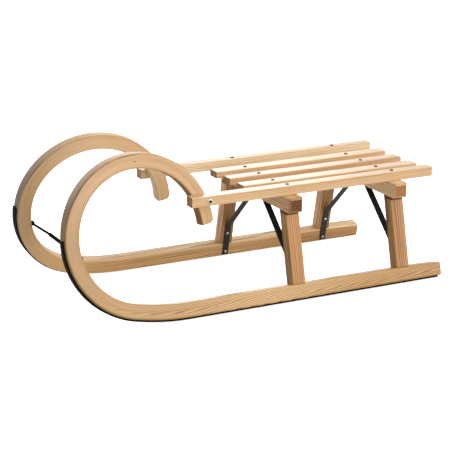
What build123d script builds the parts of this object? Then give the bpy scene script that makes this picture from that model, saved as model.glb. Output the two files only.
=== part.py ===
"""Horn sled: bent-wood runners that curl up into horns, leg trestles, a slatted seat, steel shoes and a tow rod.

World frame: +X forward, +Y left, +Z up, millimetres, origin on the ground under the middle of the sled.
Each side is drawn in its runner frame: s forward from the rear end, v up the leaning runner plane from the
underside of the shoe, w inward across the runner. The right side mirrors the left.
"""

import os
from math import atan2, cos, degrees, radians, sin, sqrt, tan

from build123d import *

# Whole sled
LENGTH = 1000.0
RUNNER_SPACING = 416.0
CANT = 13.0

# Runner, bent from one length of wood: a straight, a wide entry arc and the loop of the horn
RUNNER_WIDTH = 32.0
RUNNER_HEIGHT = 36.5
RUNNER_EDGE = 3.0
TAIL_LENGTH = 88.0
TAIL_DROP = 3.5
ENTRY_RADIUS = 640.0
LOOP_RADIUS = 197.0
LOOP_LIFT = 11.0

# Free limb of the horn, which drifts inwards, stands more upright at its top and thins towards its tip
HORN_START = 6.0
HORN_END = 174.4
HORN_STATIONS = 13
HORN_DRIFT = 33.0
HORN_ROLL = 9.0
TIP_OPENING = 7.0
TIP_HEIGHT = 31.0
TIP_ROUND = 12.0
TIP_STATIONS = 5

# Steel shoe under the runner
SHOE_THICKNESS = 3.0
SHOE_WIDTH = 20.0
SHOE_SETBACK = 7.0
SHOE_END = 4.0

# Legs and crossbars
REAR_LEG = 112.0
LEG_SPACING = 298.0
LEG_LENGTHWISE = 36.0
LEG_ACROSS = 32.0
LEG_EDGE = 2.5
TENON_LENGTHWISE = 19.0
TENON_ACROSS = 16.0
TENON_DEPTH = 18.0
TENON_FIT = 0.1
CROSSBAR_OVERHANG = 20.5
CROSSBAR_THICKNESS = 38.0
CROSSBAR_DEPTH = 37.0
CROSSBAR_TOP = 255.0
CROSSBAR_CORNER = 5.0

# Seat slats: the outer pair bears on the horns, the others lie evenly between
OUTER_SLAT_OVERHANG = 36.0
OUTER_SLAT_WIDTH = 30.0
OUTER_SLAT_HEIGHT = 24.0
INNER_SLAT_LENGTH = 500.0
INNER_SLAT_WIDTH = 37.0
INNER_SLAT_HEIGHT = 17.0
SLAT_EDGE = 2.0
HORN_PLANED = 1.0

# Strap braces between the legs and the crossbars
BRACE_WIDTH = 16.0
BRACE_THICKNESS = 3.0
BRACE_FOOT = 8.0
BRACE_BEND = 93.0
BRACE_REACH = 162.0
BRACE_TAB = 24.0
BRACE_BEND_RADIUS = 6.0

# Bolts that hold the horns to the outer slats
BOLT_SETBACK = 10.0
BOLT_RADIUS = 3.0
BOLT_FIT = 0.2
BOLT_HEAD_RADIUS = 6.2
BOLT_HEAD_HEIGHT = 3.5
BOLT_HEAD_EDGE = 2.0
BOLT_DEPTH = 22.0

# Tow rod between the horns, with an eye screwed to each
ROD_ANGLE = -12.0
ROD_RADIUS = 2.4
ROD_RISE = 5.0
ROD_BEND_RADIUS = 20.0
ROD_CRANK_MARGIN = 8.0
EYE_RADIUS = 6.5
EYE_OFFSET = 8.0
EYE_THICKNESS = 5.0
SLEEVE_LENGTH = 78.0
SLEEVE_RADIUS = 4.0
SLEEVE_FIT = 0.1
SCREW_RADIUS = 2.25
SCREW_HEAD_RADIUS = 4.5
SCREW_HEAD_HEIGHT = 2.6
SCREW_HEAD_EDGE = 1.4
SCREW_LENGTH = 20.0
SCREW_FIT = 0.05
SCREW_CLEAR = 1.0

lean = radians(CANT)
rear_x = -LENGTH / 2
shoe_lift = SHOE_WIDTH / 2 * sin(lean)
runner_frame = Plane(
    origin=(rear_x, RUNNER_SPACING / 2, shoe_lift),
    x_dir=(1, 0, 0),
    z_dir=(0, -cos(lean), -sin(lean)),
)
runner_top = SHOE_THICKNESS + RUNNER_HEIGHT

# The underside runs straight, then on the entry arc, which meets the loop where both head the same way
loop_s = LENGTH - LOOP_RADIUS
loop_v = LOOP_RADIUS + LOOP_LIFT
loop_centre = (loop_s, loop_v)
concave_radius = LOOP_RADIUS - runner_top
bend_s = loop_s - sqrt((ENTRY_RADIUS - LOOP_RADIUS) ** 2 - (ENTRY_RADIUS - loop_v) ** 2)
entry_centre = (bend_s, ENTRY_RADIUS)
join_angle = degrees(atan2(loop_v - ENTRY_RADIUS, loop_s - bend_s))

leg_stations = {"rear": REAR_LEG, "front": REAR_LEG + LEG_SPACING}
crossbar_bottom = CROSSBAR_TOP - CROSSBAR_DEPTH
leg_top_y = RUNNER_SPACING / 2 - (crossbar_bottom - shoe_lift) * tan(lean)
crossbar_end_y = leg_top_y + LEG_ACROSS / 2 / cos(lean) + CROSSBAR_OVERHANG
horn_sweep = radians(HORN_END - HORN_START)


def to_world(shape):
    """Moves a shape from the left runner frame to the world."""
    return runner_frame.location * shape


def other_side(shape):
    """The right-hand twin of a left-hand shape."""
    return mirror(shape, about=Plane.XZ)


def on_loop(radius, angle):
    """Point of the runner plane at an angle round the loop, from its foremost point upwards."""
    turn = radians(angle)
    return (loop_s + radius * cos(turn), loop_v + radius * sin(turn))


def band(rear, low, high, end_angle):
    """Strip of the runner plane between two depths above the shoe's underside, from the rear round the loop."""
    edges = [
        Line((rear, low), (rear, high)),
        Line(on_loop(LOOP_RADIUS - low, end_angle), on_loop(LOOP_RADIUS - high, end_angle)),
    ]
    for depth in (low, high):
        edges.append(Line((rear, depth), (bend_s, depth)))
        edges.append(CenterArc(entry_centre, ENTRY_RADIUS - depth, -90, join_angle + 90))
        edges.append(CenterArc(loop_centre, LOOP_RADIUS - depth, join_angle, end_angle - join_angle))
    return make_face(edges)


def horn_plane(f):
    """Plane across the horn, a share f of the way from its start to its tip, with x pointing out of the loop."""
    turn = radians(HORN_START) + horn_sweep * f
    radius = LOOP_RADIUS - SHOE_THICKNESS - RUNNER_HEIGHT / 2 + TIP_OPENING * f**3
    outward = Vector(cos(turn), sin(turn), 0)
    along = Vector(-sin(turn), cos(turn), 0)
    centre = Vector(loop_s, loop_v, HORN_DRIFT * f**1.5) + outward * radius
    opening = outward * (3 * TIP_OPENING * f**2) + Vector(0, 0, 1.5 * HORN_DRIFT * f**0.5)
    heading = (along * (radius * horn_sweep) + opening).normalized()
    outward = (outward - heading * outward.dot(heading)).normalized()
    roll = radians(HORN_ROLL) * sin(radians(180) * f)
    outward = outward * cos(roll) - outward.cross(heading) * sin(roll)
    return Plane(origin=centre, x_dir=outward, z_dir=heading)


def horn_section(f, pared=0.0, beyond=0.0):
    """Cross-section of the horn with its edges eased, pared on the outer side and moved on beyond its plane."""
    height = RUNNER_HEIGHT + (TIP_HEIGHT - RUNNER_HEIGHT) * f**2 - pared
    outline = Rectangle(height, RUNNER_WIDTH)
    outline = Pos(-pared / 2, 0) * chamfer(outline.vertices(), RUNNER_EDGE)
    return horn_plane(f).offset(beyond) * outline


def tip_section(share):
    """Cross-section of the horn's tip, whose outer corner is rounded off."""
    turn = radians(90) * share
    return horn_section(1, TIP_ROUND * (1 - cos(turn)), TIP_ROUND * sin(turn))


def horn_point_at(z):
    """World point on the centre line of the horn's descending limb at a height."""
    above, under = 0.5, 1.0
    for _ in range(40):
        f = (above + under) / 2
        point = runner_frame.from_local_coords(horn_plane(f).origin)
        if point.Z > z:
            above = f
        else:
            under = f
    return point


def make_tenon(station, v_low, v_high, gap=0.0):
    """Tenon of a leg, square in the runner frame, between two heights."""
    tenon = Box(TENON_LENGTHWISE + 2 * gap, v_high - v_low, TENON_ACROSS + 2 * gap)
    return Pos(station, (v_low + v_high) / 2, 0) * tenon


def below(shape, z):
    """The part of a world shape that lies below a height."""
    return split(shape, bisect_by=Plane.XY.offset(z), keep=Keep.BOTTOM)


def top_tenon(station, gap=0.0):
    """Upper tenon of a leg, level at its end, inside the crossbar."""
    tenon = to_world(make_tenon(station, runner_top + TENON_DEPTH, 2 * CROSSBAR_TOP, gap))
    tenon = below(tenon, crossbar_bottom + TENON_DEPTH + gap)
    return split(tenon, bisect_by=Plane.XY.offset(crossbar_bottom), keep=Keep.TOP)


def make_slat(length, width, height, y):
    """Seat slat on the crossbars, its long edges eased, its rear end level with the runners' rear ends."""
    slat = Box(length, width, height)
    slat = fillet(slat.edges().filter_by(Axis.X), SLAT_EDGE)
    return Pos(rear_x + length / 2, y, CROSSBAR_TOP + height / 2) * slat


def headed_pin(head_radius, head_height, head_edge, pin_radius, pin_length):
    """Round-headed pin along Z, with the underside of its head at the origin."""
    up = (Align.CENTER, Align.CENTER, Align.MIN)
    down = (Align.CENTER, Align.CENTER, Align.MAX)
    head = Cylinder(head_radius, head_height, align=up)
    head = chamfer(head.edges().group_by(Axis.Z)[-1], head_edge)
    return head + Cylinder(pin_radius, pin_length, align=down)


# Where the outer slat meets the horn, and the bolt through both
seat_z = CROSSBAR_TOP + OUTER_SLAT_HEIGHT / 2
seat = horn_point_at(seat_z)
outer_slat_length = seat.X + OUTER_SLAT_OVERHANG - rear_x
slat_inner_face = seat.Y + RUNNER_WIDTH / 2 - HORN_PLANED
outer_slat_y = slat_inner_face + OUTER_SLAT_WIDTH / 2
slat_outer_face = slat_inner_face + OUTER_SLAT_WIDTH
bolt_length = OUTER_SLAT_WIDTH + BOLT_DEPTH
bolt_place = Location((seat.X - BOLT_SETBACK, slat_outer_face, seat_z), (-90, 0, 0))

# Where the eye of the tow rod lies on the concave face of the horn
eye_sag = concave_radius - sqrt(concave_radius**2 - EYE_RADIUS**2)
eye_turn = radians(ROD_ANGLE)
eye_plane = Plane(
    origin=(*on_loop(concave_radius - eye_sag, ROD_ANGLE), EYE_OFFSET),
    x_dir=(0, 0, 1),
    z_dir=(-cos(eye_turn), -sin(eye_turn), 0),
)

# Seat slats
outer_slat = make_slat(outer_slat_length, OUTER_SLAT_WIDTH, OUTER_SLAT_HEIGHT, outer_slat_y)
inner_slat = make_slat(INNER_SLAT_LENGTH, INNER_SLAT_WIDTH, INNER_SLAT_HEIGHT, outer_slat_y / 2)
centre_slat = make_slat(INNER_SLAT_LENGTH, INNER_SLAT_WIDTH, INNER_SLAT_HEIGHT, 0)
bolt_hole = bolt_place * Cylinder(BOLT_RADIUS + BOLT_FIT, 2 * (bolt_length + BOLT_FIT))
slat_bearing = Pos(rear_x + outer_slat_length / 2, outer_slat_y, seat_z) * Box(
    outer_slat_length, OUTER_SLAT_WIDTH, OUTER_SLAT_HEIGHT
)
outer_slat -= bolt_hole

# Left runner with its horn, planed where the outer slat bears on it and drilled for the bolt
lower = extrude(band(0, SHOE_THICKNESS, runner_top, HORN_START), RUNNER_WIDTH / 2, both=True)
tail_outline = [
    TangentArc((TAIL_LENGTH, runner_top), (0, runner_top - TAIL_DROP), tangent=(-1, 0)),
    Line((0, runner_top - TAIL_DROP), (0, runner_top)),
    Line((0, runner_top), (TAIL_LENGTH, runner_top)),
]
lower -= extrude(make_face(tail_outline), RUNNER_WIDTH, both=True)
side_edges = lower.faces().filter_by(Axis.Z).edges()
lower = chamfer(side_edges.filter_by(lambda edge: edge.length > 2 * RUNNER_HEIGHT), RUNNER_EDGE)
limb = loft([horn_section(i / (HORN_STATIONS - 1)) for i in range(HORN_STATIONS)])
tip = loft([tip_section(i / (TIP_STATIONS - 1)) for i in range(TIP_STATIONS)], ruled=True)
runner = lower + limb + tip
for station in leg_stations.values():
    runner -= make_tenon(station, runner_top - TENON_DEPTH - TENON_FIT, runner_top + TENON_DEPTH, TENON_FIT)
runner -= eye_plane * Cylinder(SCREW_RADIUS + SCREW_FIT, 2 * (SCREW_LENGTH + SCREW_FIT))
runner = to_world(runner) - slat_bearing - bolt_hole

# Shoe, bent round the underside up to the front of the horn
shoe = to_world(extrude(band(SHOE_SETBACK, 0, SHOE_THICKNESS, SHOE_END), SHOE_WIDTH / 2, both=True))

# Horn bolt, which ends inside the horn
bolt = headed_pin(BOLT_HEAD_RADIUS, BOLT_HEAD_HEIGHT, BOLT_HEAD_EDGE, BOLT_RADIUS, bolt_length)
bolt = bolt_place * bolt

# Legs, tenoned into the runner and the crossbar
legs = {}
for name, station in leg_stations.items():
    post = Box(LEG_LENGTHWISE, 2 * CROSSBAR_TOP, LEG_ACROSS)
    post = fillet(post.edges().filter_by(Axis.Y), LEG_EDGE)
    post = to_world(Pos(station, runner_top + CROSSBAR_TOP, 0) * post)
    foot_tenon = to_world(make_tenon(station, runner_top - TENON_DEPTH, runner_top + TENON_DEPTH))
    legs[name] = below(post, crossbar_bottom) + foot_tenon + top_tenon(station)

# Crossbars over each pair of legs
crossbars = {}
for name, station in leg_stations.items():
    bar = Box(CROSSBAR_THICKNESS, 2 * crossbar_end_y, CROSSBAR_DEPTH)
    ends = bar.faces().sort_by(Axis.Y)
    bar = chamfer(ends[0].edges() + ends[-1].edges(), CROSSBAR_CORNER)
    bar = Pos(rear_x + station, 0, CROSSBAR_TOP - CROSSBAR_DEPTH / 2) * bar
    mortise = top_tenon(station, TENON_FIT)
    crossbars[name] = bar - mortise - other_side(mortise)

# Braces, bent from flat strap: foot on the inner faces of runner and leg, tab under the crossbar
foot = runner_frame.from_local_coords((0, BRACE_FOOT, RUNNER_WIDTH / 2))
knee = runner_frame.from_local_coords((0, BRACE_BEND, RUNNER_WIDTH / 2))
strap_line = FilletPolyline(
    (foot.Y, foot.Z),
    (knee.Y, knee.Z),
    (crossbar_end_y - BRACE_REACH, crossbar_bottom),
    (crossbar_end_y - BRACE_REACH - BRACE_TAB, crossbar_bottom),
    radius=BRACE_BEND_RADIUS,
)
strap_face = make_face(Wire(strap_line.edges()).offset_2d(BRACE_THICKNESS, side=Side.LEFT).edges())
strap = extrude(Plane.YZ * strap_face, BRACE_WIDTH / 2, both=True)
braces = {name: Pos(rear_x + station, 0, 0) * strap for name, station in leg_stations.items()}

# Tow rod, cranked up to the sleeve in its middle, with its end screws
rod_root = (SCREW_HEAD_RADIUS + SCREW_CLEAR, 0, EYE_THICKNESS / 2)
rod_end = runner_frame.from_local_coords(eye_plane.from_local_coords(rod_root))
rod_crank_y = SLEEVE_LENGTH / 2 + ROD_CRANK_MARGIN
rod_line = FilletPolyline(
    (rod_end.X, rod_end.Y, rod_end.Z),
    (rod_end.X, rod_crank_y, rod_end.Z + ROD_RISE),
    (rod_end.X, -rod_crank_y, rod_end.Z + ROD_RISE),
    (rod_end.X, -rod_end.Y, rod_end.Z),
    radius=ROD_BEND_RADIUS,
)
rod = sweep(Plane(rod_line @ 0, z_dir=rod_line % 0) * Circle(ROD_RADIUS), rod_line)
eye = to_world(eye_plane * Pos(0, 0, EYE_THICKNESS / 2) * Cylinder(EYE_RADIUS, EYE_THICKNESS))
eye_hole = to_world(eye_plane * Cylinder(SCREW_RADIUS + SCREW_FIT, 4 * EYE_THICKNESS))
rod = rod + eye + other_side(eye) - eye_hole - other_side(eye_hole)
sleeve = Cylinder(SLEEVE_RADIUS, SLEEVE_LENGTH) - Cylinder(ROD_RADIUS + SLEEVE_FIT, SLEEVE_LENGTH)
sleeve = Location((rod_end.X, 0, rod_end.Z + ROD_RISE), (90, 0, 0)) * sleeve
screw = headed_pin(
    SCREW_HEAD_RADIUS, SCREW_HEAD_HEIGHT, SCREW_HEAD_EDGE, SCREW_RADIUS, EYE_THICKNESS + SCREW_LENGTH
)
screw = to_world(eye_plane * Pos(0, 0, EYE_THICKNESS) * screw)

left_parts = {
    "runner": runner,
    "runner_shoe": shoe,
    "seat_slat_outer": outer_slat,
    "seat_slat_inner": inner_slat,
    "horn_bolt": bolt,
    "tow_rod_screw": screw,
}
for name in leg_stations:
    left_parts[f"leg_{name}"] = legs[name]
    left_parts[f"brace_{name}"] = braces[name]
parts = {"seat_slat_centre": centre_slat, "tow_rod": rod, "tow_rod_sleeve": sleeve}
for name, bar in crossbars.items():
    parts[f"crossbar_{name}"] = bar
for name, shape in left_parts.items():
    parts[f"{name}_left"] = shape
    parts[f"{name}_right"] = other_side(shape)

os.makedirs("parts", exist_ok=True)
for name, shape in parts.items():
    export_step(shape, f"parts/{name}.step")
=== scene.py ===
"""Horn sled: steam-bent ash runners, slatted seat, black steel fittings."""
import math

import bmesh
import bpy
from mathutils import Matrix, Vector


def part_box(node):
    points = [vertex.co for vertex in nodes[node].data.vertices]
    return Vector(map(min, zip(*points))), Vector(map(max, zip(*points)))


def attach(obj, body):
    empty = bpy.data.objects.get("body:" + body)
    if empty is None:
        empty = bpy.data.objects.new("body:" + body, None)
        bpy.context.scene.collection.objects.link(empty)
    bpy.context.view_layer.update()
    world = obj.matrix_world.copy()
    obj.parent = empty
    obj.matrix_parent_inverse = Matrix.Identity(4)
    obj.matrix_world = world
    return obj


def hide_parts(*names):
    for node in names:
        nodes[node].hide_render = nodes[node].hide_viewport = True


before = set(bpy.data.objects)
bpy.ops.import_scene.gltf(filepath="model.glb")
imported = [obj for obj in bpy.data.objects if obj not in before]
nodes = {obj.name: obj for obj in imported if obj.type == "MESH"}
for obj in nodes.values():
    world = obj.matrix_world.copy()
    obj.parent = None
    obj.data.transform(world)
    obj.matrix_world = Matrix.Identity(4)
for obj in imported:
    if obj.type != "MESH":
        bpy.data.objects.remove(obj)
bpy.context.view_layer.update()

SIDES = {"left": 1, "right": -1}
CROSSBARS = ("crossbar_front", "crossbar_rear")

# The leaning plane that each bent runner lies in.
HALF_SPACING = 0.208
CANT = math.radians(13)
REAR_END = -0.5
SHOE_LIFT = 0.00225

# The bent runner bar and the line that it is bent along.
BAR_WIDTH = 0.032
BAR_DEPTH = 0.0365
INNER_ROUNDING = 0.0048
OUTER_ROUNDING = 0.0024
WORN_ROUNDING = 0.0042
ENTRY_RADIUS = 0.640
LOOP_RADIUS = 0.197
LOOP_LIFT = 0.011
LOOP_CENTRE = 0.803
HORN_START = math.radians(6)
HORN_END = math.radians(174.4)
HORN_DRIFT = 0.033
HORN_ROLL = math.radians(9)
TIP_OPENING = 0.007
TIP_DEPTH = 0.031
TIP_ROUND = 0.012
TIP_EDGE = 0.0016
TAIL_LENGTH = 0.088
TAIL_DROP = 0.0035

# The steel shoe under each runner, thickest along its outer edge.
SHOE_THICKNESS = 0.003
SHOE_WIDTH = 0.020
SHOE_SETBACK = 0.007
SHOE_TURN = math.radians(4)
SHOE_EDGE = 0.0005
SHOE_WEAR = 0.0016
SHOE_SCREWS = (0.045, 0.215, 0.385, 0.555, 0.715)

# Lengths of the bar and the shoe, measured along the bar's middle.
BAR_MIDDLE = SHOE_THICKNESS + BAR_DEPTH / 2
LOOP_HEIGHT = LOOP_RADIUS + LOOP_LIFT
ENTRY_TURN = math.acos((ENTRY_RADIUS - LOOP_HEIGHT) / (ENTRY_RADIUS - LOOP_RADIUS))
BEND_START = LOOP_CENTRE - (ENTRY_RADIUS - LOOP_RADIUS) * math.sin(ENTRY_TURN)
ENTRY_LENGTH = (ENTRY_RADIUS - BAR_MIDDLE) * ENTRY_TURN
LOOP_BEND = LOOP_RADIUS - BAR_MIDDLE
LOOP_LENGTH = LOOP_BEND * (math.radians(90) - ENTRY_TURN + HORN_START)
HORN_LENGTH = LOOP_BEND * (HORN_END - HORN_START)
BAR_LENGTH = BEND_START + ENTRY_LENGTH + LOOP_LENGTH + HORN_LENGTH + TIP_ROUND
SHOE_FRONT = BEND_START + ENTRY_LENGTH + LOOP_BEND * (math.radians(90) - ENTRY_TURN + SHOE_TURN)
SHOE_LENGTH = SHOE_FRONT - SHOE_SETBACK

# How finely the bars are cut and rounded.
TAIL_CUTS = 6
ENTRY_CUTS = 8
BEND_CUTS = 84
TIP_CUTS = 8
EDGE_CUTS = (0.15, 0.5)
BAR_EDGE_STEPS = 4
STEEL_EDGE_STEPS = 2
ROUND_STEPS = 28
SHANK_STEPS = 20
HEAD_STEPS = 24

# Legs and their straps, measured along the runner and up the leaning plane.
LEG_PLACES = (0.112, 0.410)
LEG_HALF_DEPTH = 0.016
STRAP_THICKNESS = 0.003
STRAP_FOOT_SCREWS = (0.016, 0.071)
STRAP_TAB_SCREW = 0.020

# The tow rod between the horns, its eyes and its sleeve.
ROD_TURN = math.radians(-12)
ROD_RADIUS = 0.0030
ROD_EDGE = 0.0004
ROD_RISE = 0.005
ROD_CRANK = 0.047
CRANK_EASE = 0.004
EYE_RADIUS = 0.0065
EYE_THICKNESS = 0.005
EYE_EDGE = 0.0008
EYE_OFFSET = 0.008
EYE_REACH = 0.0055
EYE_SINK = 0.00013
SLEEVE_RADIUS = 0.0046
SLEEVE_LENGTH = 0.078
SLEEVE_EDGE = 0.0012

# Screw and bolt heads: radius and height of each ring, from the middle out to the rim.
COUNTERSUNK = [(0.0, 0.0003), (0.0042, 0.0004), (0.0047, 0.0001), (0.0028, -0.0018)]
OVAL_HEAD = [(0.0, 0.0017), (0.0030, 0.0015), (0.0043, 0.0009), (0.0053, 0.0001),
             (0.0028, -0.0018)]
PAN_HEAD = [(0.0, 0.0021), (0.0020, 0.0020), (0.0028, 0.0016), (0.0034, 0.0008), (0.0036, 0.0)]
DOME_HEAD = [(0.0, 0.0034), (0.0043, 0.0033), (0.0051, 0.0026), (0.0058, 0.0015),
             (0.0062, 0.0004), (0.0062, 0.0)]
RECESS_DRAFT = 0.8
CROSS_WAIST = 0.36
SHANK_RADIUS = 0.003


def linear(red, green, blue):
    """A colour given on the 0 to 255 scale, as light values."""
    out = []
    for part in (red, green, blue):
        part /= 255
        out.append(part / 12.92 if part <= 0.04045 else ((part + 0.055) / 1.055) ** 2.4)
    return (*out, 1.0)


# Marks of ash, in waves per metre along and across the grain.
SWAY_WAVES = (2.6, 11.0, 11.0)
UNEVEN_WAVES = (3.0, 75.0, 75.0)
RING_WAVES = (1.3, 45.0, 45.0)
STREAK_WAVES = (2.2, 105.0, 105.0)
FIBRE_WAVES = (9.0, 520.0, 520.0)
PORE_WAVES = (42.0, 1150.0, 1150.0)
CLOUD_WAVES = (1.6, 9.0, 9.0)
KNOT_WAVES = (12.0, 17.0, 17.0)

# Where each mark begins and where it is full, and how much it shows.
LATE_WOOD = (0.35, 0.88)
YEAR_END = (1.0, 0.92)
RING_RANGE = (0.18, 0.58)
PORE_RANGE = (0.60, 0.72)
KNOT_RANGE = (0.05, 0.028)
UNEVEN_YEARS = 2.4
CLOUD_DEPTH = 0.5
PORE_DEPTH = 0.2
MIDDLE_SHARE = 0.24
KNOT_SHARE = 0.5
KNOT_TONE = linear(70, 42, 22)
FIBRE_HEIGHT = 0.6
PORE_SINK = 0.7
VARNISH_ROUGH = 0.32
DARK_WOOD_ROUGH = 0.2
GRAIN_BUMP = {"Strength": 0.12, "Distance": 0.0006}

# Varnish: full gloss, and what is left of it where the wood is dull or sawn across.
SPECULAR = 0.5
DULL_SPECULAR = 0.04
COAT_ROUGHNESS = 0.22
BOARD_COAT = 0.25
RUNNER_COAT = 0.5
SAWN_SHARE = 0.9
SAWN_TURN = (0.58, 0.82)
SAWN_SKIN = (0.0010, 0.0003)
FACE_TURN = (0.6, 0.9)
END_GRAIN = (0.45, 0.40, 0.30, 1.0)

# How the wood of each kind of piece is grown.
SLAT_FIGURE = {"Ring Spacing": 0.0060, "Ring Depth": 0.5, "Streak Depth": 0.6, "Fibre Depth": 0.5}
BAR_FIGURE = {"Ring Spacing": 0.0070, "Ring Depth": 0.6, "Streak Depth": 0.6, "Fibre Depth": 0.5}
LEG_FIGURE = {"Ring Spacing": 0.0048, "Ring Depth": 0.8, "Streak Depth": 1.1, "Fibre Depth": 0.6}
BENT_FIGURE = {"Ring Spacing": 0.0040, "Ring Sway": 0.014, "Streak Depth": 0.7, "Fibre Depth": 0.5}

# Slats and crossbars: pale and dark tone, then where the heart of the tree lies.
SLAT_ASH = {
    "seat_slat_outer_left": (((234, 196, 148), (190, 142, 90)), (0.0, 0.030, -0.060)),
    "seat_slat_inner_left": (((238, 202, 156), (196, 148, 98)), (0.0, -0.040, -0.070)),
    "seat_slat_centre": (((231, 190, 140), (172, 120, 72)), (0.0, 0.020, -0.050)),
    "seat_slat_inner_right": (((238, 202, 156), (192, 144, 94)), (0.0, -0.020, -0.080)),
    # The outer right slat's pale tone is set lighter as painted light on its sides.
    "seat_slat_outer_right": (((252, 228, 188), (210, 166, 118)), (0.0, 0.050, -0.050)),
}
# Slats whose top has a tone of its own, painted shade where darker than the side, and how dull
# that top is worn.
SLAT_TOPS_SHADED = {
    "seat_slat_outer_right": ((230, 204, 172), 0.85),
    "seat_slat_inner_right": ((238, 202, 156), 0.15),
}
# The last value is the stain of the crossbar's sawn ends.
CROSSBAR_ASH = {
    "crossbar_front": (((232, 190, 126), (168, 116, 62)), (0.0, 0.012, -0.030),
                       (0.155, 0.055, 0.0, 1.0)),
    # The rear crossbar's tones are set lighter than its wood, partly as painted light on its
    # shaded end.
    "crossbar_rear": (((250, 226, 175), (204, 158, 106)), (0.0, -0.020, -0.036),
                      (0.45, 0.21, 0.075, 1.0)),
}

# Legs: tones all round and on the front face, hearts, and painted shade as a dark band below the
# crossbar.
# A heart's first number shifts the grain along the leg.
LEG_TONES = {"left": ((200, 139, 48), (122, 64, 18)), "right": ((186, 140, 82), (122, 77, 41))}
# The front-face tones are partly painted light, most of all on the right legs, whose fronts are
# much lighter.
LEG_FRONT_TONES_AND_LIGHT = {"left": ((187, 141, 64), (119, 75, 30)),
                   "right": ((252, 208, 146), (194, 134, 94))}
LEG_HEARTS = {"leg_front_left": (9.7, 0.02, 0.10), "leg_rear_left": (3.4, -0.03, 0.09),
              "leg_front_right": (0.0, 0.03, 0.11), "leg_rear_right": (0.0, -0.01, 0.12)}
# Painted shade: a dark, dull band on each leg just below its crossbar.
SEAM_SHADE_TONE = linear(88, 48, 18)
SEAM_SHADE_START = 0.0100
SEAM_SHADE_FULL = 0.0065
SEAM_SHADE_SHARE = 0.9

# Runners: tones at places along the bar, partly the wood's own and partly painted light and shade,
# and where on each board the grain starts.
RUNNER_TONES_AND_LIGHT = {
    "left": ((0.20, (207, 157, 66)), (0.50, (234, 191, 119)), (0.80, (206, 160, 84)),
             (1.07, (192, 144, 76)), (1.36, (225, 183, 132)), (1.54, (226, 184, 133)),
             (1.60, (222, 178, 114))),
    "right": ((0.10, (202, 156, 98)), (0.50, (240, 198, 135)), (0.80, (226, 182, 120)),
              (1.07, (197, 161, 111)), (1.36, (250, 212, 162)), (1.55, (234, 194, 144))),
}
GRAIN_STARTS = {"left": 0.0, "right": 4.0}
BENT_RUN_OUT = {"left": 0.09, "right": 0.02}
BENT_HEARTS = {"left": (0.0, 0.060, -0.048), "right": (0.0, 0.058, 0.046)}
DARK_SHARE = (0.47, 0.355, 0.245, 1.0)
RUNNER_RINGS = 1.25
HORN_RINGS = 0.20
HORN_FADE = (0.55, 0.95)

# The horn's convex face, darkened and greyed in cloudy patches as painted shade.
CONVEX_FACE = (0.0126, 0.0181)
CONVEX_SHADE_LOW = (0.68, 0.87, 1.55, 1.0)
CONVEX_SHADE_HIGH = (0.82, 0.80, 0.78, 1.0)
CONVEX_SHADE_CHANGE = (1.14, 1.32)
CONVEX_SHADE_WAVES = (2.5, 20.0, 230.0)
CONVEX_SHADE_SPREAD = 1.2
CONVEX_SHADE_LEAST = 0.30

# Dark lines where the grain lifts along the horn's outer edge.
LIFTED_TONE = linear(88, 56, 32)
LIFTED_SHARE = 0.85
LIFTED_WAVES = (7.0, 210.0, 30.0)
LIFTED_RANGE = (0.47, 0.58)
LIFTED_DEPTHS = ((0.0085, 0.0125), (0.0182, 0.0168))
LIFTED_PLACES = ((1.08, 1.20), (1.44, 1.32))

# The runner's concave face: tone (partly painted shade on the left horn near its tip, partly
# painted light on the right runner's rear), where it starts, where it is full, how dull it is.
CONCAVE_FACE = (-0.0126, -0.0176)
CONCAVE_TONE_AND_LIGHT = {"left": ((158, 118, 74), 1.38, 1.50, 1.0),
              "right": ((245, 212, 155), 0.75, 0.55, 0.0)}

# Coated and plated skins: colour, worn colour, roughness, metal, size of the grain, size of the
# worn patches, depth of the grain, shine.
SKINS = {
    "black_coat": (linear(29, 31, 27), linear(42, 43, 39), 0.40, 0.0, 0.0016, 0.06, 0.25, 0.5),
    "black_shoe": (linear(6, 6, 5), linear(13, 13, 11), 0.55, 0.0, 0.0016, 0.06, 0.25, 0.08),
    "black_rod": (linear(8, 8, 8), linear(12, 12, 12), 0.55, 0.0, 0.0014, 0.04, 0.25, 0.02),
    "black_sleeve": (linear(9, 9, 9), linear(14, 14, 14), 0.60, 0.0, 0.0011, 0.03, 0.35, 0.02),
    "bright_zinc": (linear(230, 231, 232), linear(190, 192, 196), 0.20, 1.0, 0.0009, 0.006, 0.10,
                    0.5),
    "dark_screw": (linear(6, 5, 5), linear(14, 12, 11), 0.60, 0.0, 0.0009, 0.004, 0.15, 0.0),
    # Painted shade: the dark inside of the driver recesses.
    "socket_shade": (linear(14, 14, 14), linear(30, 30, 30), 0.55, 0.0, 0.0009, 0.003, 0.15, 0.15),
}
PATCH_RANGE = (0.35, 0.70)
WORN_SHARE = 0.6
PATCH_ROUGH = 0.14
GRAIN_ROUGH = 0.10
SKIN_BUMP = 0.0004
# Painted shade on one side of a skin: where it starts, its tone, how much of it, how much shine it
# loses.
SHADED_SIDE_TURN = (0.0, 0.25)
SHADED_SIDE_TONE = linear(8, 8, 7)
SHADED_SIDE_SHARE = 0.75
SHADED_SIDE_SHINE_LOSS = 0.85

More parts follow.
